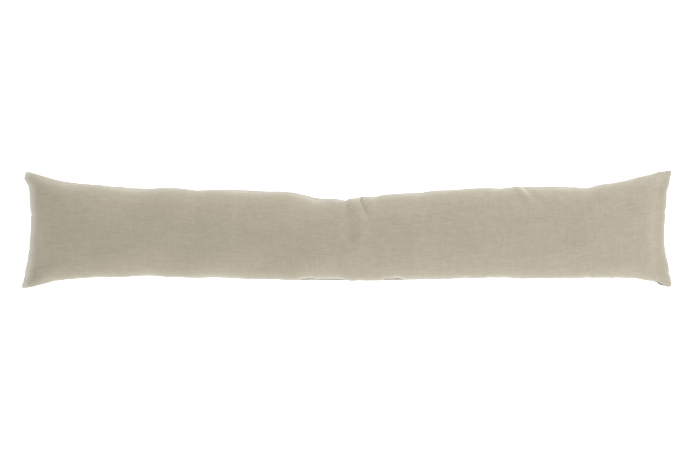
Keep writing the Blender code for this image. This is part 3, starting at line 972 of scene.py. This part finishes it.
def streaks_of(wire, along, across, yarn):
    """Noise in long thin streaks of the yarn, along the cushion and across it."""
    along_stretched = wire.combine(
        wire.math("DIVIDE", along, yarn.long), wire.math("DIVIDE", across, yarn.thick), yarn.cut
    )
    across_stretched = wire.combine(
        wire.math("DIVIDE", along, yarn.thick),
        wire.math("DIVIDE", across, yarn.long),
        yarn.cut + CROSS_CUT,
    )
    stretched = (along_stretched, across_stretched)
    return [wire.noise(at, STREAK_SCALE, STREAK_DETAIL) for at in stretched]


def make_linen():
    """Plain weave of uneven linen yarn: threads over and under each other, with painted shade
    between them, long streaks of thicker and paler yarn both ways, short slubs, a soft sheen at
    the rims, painted light towards the seams and painted shade along them."""
    material = bpy.data.materials.new("linen")
    material.use_nodes = True
    shader = material.node_tree.nodes["Principled BSDF"]
    wire = Builder(material.node_tree)
    place = wire.node("ShaderNodeUVMap", uv_map="cloth").outputs["UV"]
    split = wire.node("ShaderNodeSeparateXYZ")
    wire.feed(split.inputs[0], place)
    along, across = split.outputs["X"], split.outputs["Y"]

    weave = weave_of(wire, place, along, across)
    weighted = []
    streaks = {}
    for yarn in (FINE_YARN, SLUB_YARN, BROAD_YARN):
        streaks[yarn] = streaks_of(wire, along, across, yarn)
        weighted += zip(streaks[yarn], (yarn.along, yarn.across))
    weighted.append((wire.noise(place, CLOUD_SCALE, CLOUD_DETAIL), CLOUD_WEIGHT))
    parts = [(wire.math("SUBTRACT", value, NOISE_MIDDLE), weight) for value, weight in weighted]
    # painted shade between the threads
    parts.append((wire.math("SUBTRACT", weave, WEAVE_MIDDLE), WEAVE_SHADE_WEIGHT))
    pale = wire.math("ADD", wire.total(parts), MEAN_TONE, clamp=True)

    yarn_colour = wire.mix(pale, LINEN_DARK, LINEN_LIGHT)
    # painted rim light: the cloth painted paler towards the seams by the edge values
    rim_lit = wire.mix(wire.attribute("edge"), yarn_colour, LINEN_PAINTED_RIM_LIGHT)
    # painted shade along the seams, and painted shadow at the lower seam's marks
    seam_shaded = wire.mix(wire.attribute("seam"), rim_lit, LINEN_PAINTED_SHADE)
    wire.feed(shader.inputs["Base Color"], seam_shaded)
    slub, cross_slub = streaks[SLUB_YARN]
    wire.feed(shader.inputs["Roughness"], wire.spread(slub, SLUB_SPAN, LINEN_ROUGHNESS))
    set_inputs(shader, LINEN_SHEEN)

    fine = streaks[FINE_YARN][0]
    relief_parts = (
        (cross_slub, CROSS_SLUB_RELIEF),
        (fine, FINE_RELIEF),
        (slub, SLUB_RELIEF),
    )
    bump = wire.node("ShaderNodeBump")
    set_inputs(bump, {"Strength": BUMP_STRENGTH, "Distance": BUMP_DISTANCE})
    wire.feed(bump.inputs["Height"], wire.math("ADD", weave, wire.total(relief_parts)))
    wire.feed(shader.inputs["Normal"], bump.outputs["Normal"])
    return material


def make_cushion():
    """The one piece: both strips, settled, sewn and pressed on the floor."""
    back_depth = crown_of(MIDDLE_HALF_WIDTH, BACK_FULLNESS)
    seam_plane = back_depth + SEAM_THICKNESS / 2 - SETTLED
    fine = fine_grid()
    strips = shaped(fine, seam_plane)
    coarse = even_grid(SIM_COLUMNS, SIM_ROWS)
    creases = creases_of(coarse, simulate(coarse, shaped(coarse, seam_plane)))
    for front in strips:
        strips[front] = strips[front] + spread_to(fine, coarse, creases[front])
    strips = sew_edge(fine, strips)
    mesh, numbers = make_box_grid(len(fine.u) - 1, len(fine.v) - 1)
    points = as_list(strips, numbers)
    points[:, 2] = pressed(points[:, 2])
    mesh.vertices.foreach_set("co", points.ravel())
    mesh.name = "cushion_cloth"
    add_uv_maps(mesh, fine, numbers)
    add_painted_light_and_shade(mesh, fine, numbers)
    mesh.shade_smooth()
    mesh.materials.append(make_linen())
    mesh.update()
    cushion = bpy.data.objects.new("cushion_cloth", mesh)
    bpy.context.scene.collection.objects.link(cushion)
    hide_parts("cushion")
    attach(cushion, "root")


def make_floor():
    """A pale floor that shows white, like the ground of the photograph."""
    bpy.ops.mesh.primitive_plane_add(size=FLOOR_SIZE, location=(0, 0, -FLOOR_DROP))
    floor = bpy.context.object
    floor.name = "floor"
    material = bpy.data.materials.new("pale_floor")
    material.use_nodes = True
    look = {
        "Base Color": FLOOR_COLOUR,
        "Roughness": FLOOR_ROUGHNESS,
        "Specular IOR Level": FLOOR_SPECULAR,
        "Emission Color": WHITE,
        "Emission Strength": FLOOR_GLOW,
    }
    set_inputs(material.node_tree.nodes["Principled BSDF"], look)
    floor.data.materials.append(material)


# Softboxes: name, place, size along and across, power
Softbox = namedtuple("Softbox", "name place width height power")
SOFTBOXES = (
    Softbox("right", (1.05, -0.26, 1.70), 1.0, 1.0, 17.5),
    Softbox("left", (-1.35, 0.0, 0.35), 1.0, 0.5, 1.0),
    Softbox("lower_side", (-0.2, -1.6, 0.34), 2.2, 0.5, 4.5),
    Softbox("upper_side", (0.0, 1.6, 0.28), 2.2, 0.5, 7.5),
)
WORLD_STRENGTH = 0.578


def make_light():
    """The softboxes, each turned to the cushion, and an even light from all round."""
    for box in SOFTBOXES:
        lamp = bpy.data.lights.new(box.name, "AREA")
        lamp.shape = "RECTANGLE"
        lamp.size, lamp.size_y = box.width, box.height
        lamp.energy = box.power
        light = bpy.data.objects.new(box.name, lamp)
        light.location = box.place
        light.rotation_euler = (-Vector(box.place)).to_track_quat("-Z", "Y").to_euler()
        bpy.context.scene.collection.objects.link(light)
    world = bpy.data.worlds.new("studio")
    world.use_nodes = True
    background = {"Color": WHITE, "Strength": WORLD_STRENGTH}
    set_inputs(world.node_tree.nodes["Background"], background)
    bpy.context.scene.world = world


def make_camera():
    """Straight above, so that the cushion's ends fall on their pixels."""
    pixel = (cad_high.x - cad_low.x) / (CUSHION_RIGHT - CUSHION_LEFT)
    middle = (CUSHION_LEFT + CUSHION_RIGHT) / 2
    x = (PHOTO_WIDTH / 2 - middle) * pixel
    y = (CUSHION_MIDDLE_DOWN - PHOTO_HEIGHT / 2) * pixel
    distance = pixel * PHOTO_WIDTH * LENS_MM / SENSOR_MM
    lens = bpy.data.cameras.new("camera")
    lens.lens = LENS_MM
    lens.sensor_width = SENSOR_MM
    camera = bpy.data.objects.new("camera", lens)
    camera.location = (x, y, CORNER_HEIGHT + distance)
    bpy.context.scene.collection.objects.link(camera)
    bpy.context.scene.camera = camera


make_cushion()
make_floor()
make_light()
make_camera()
bpy.context.scene.view_settings.view_transform = "Standard"
bpy.context.scene.view_settings.look = "None"
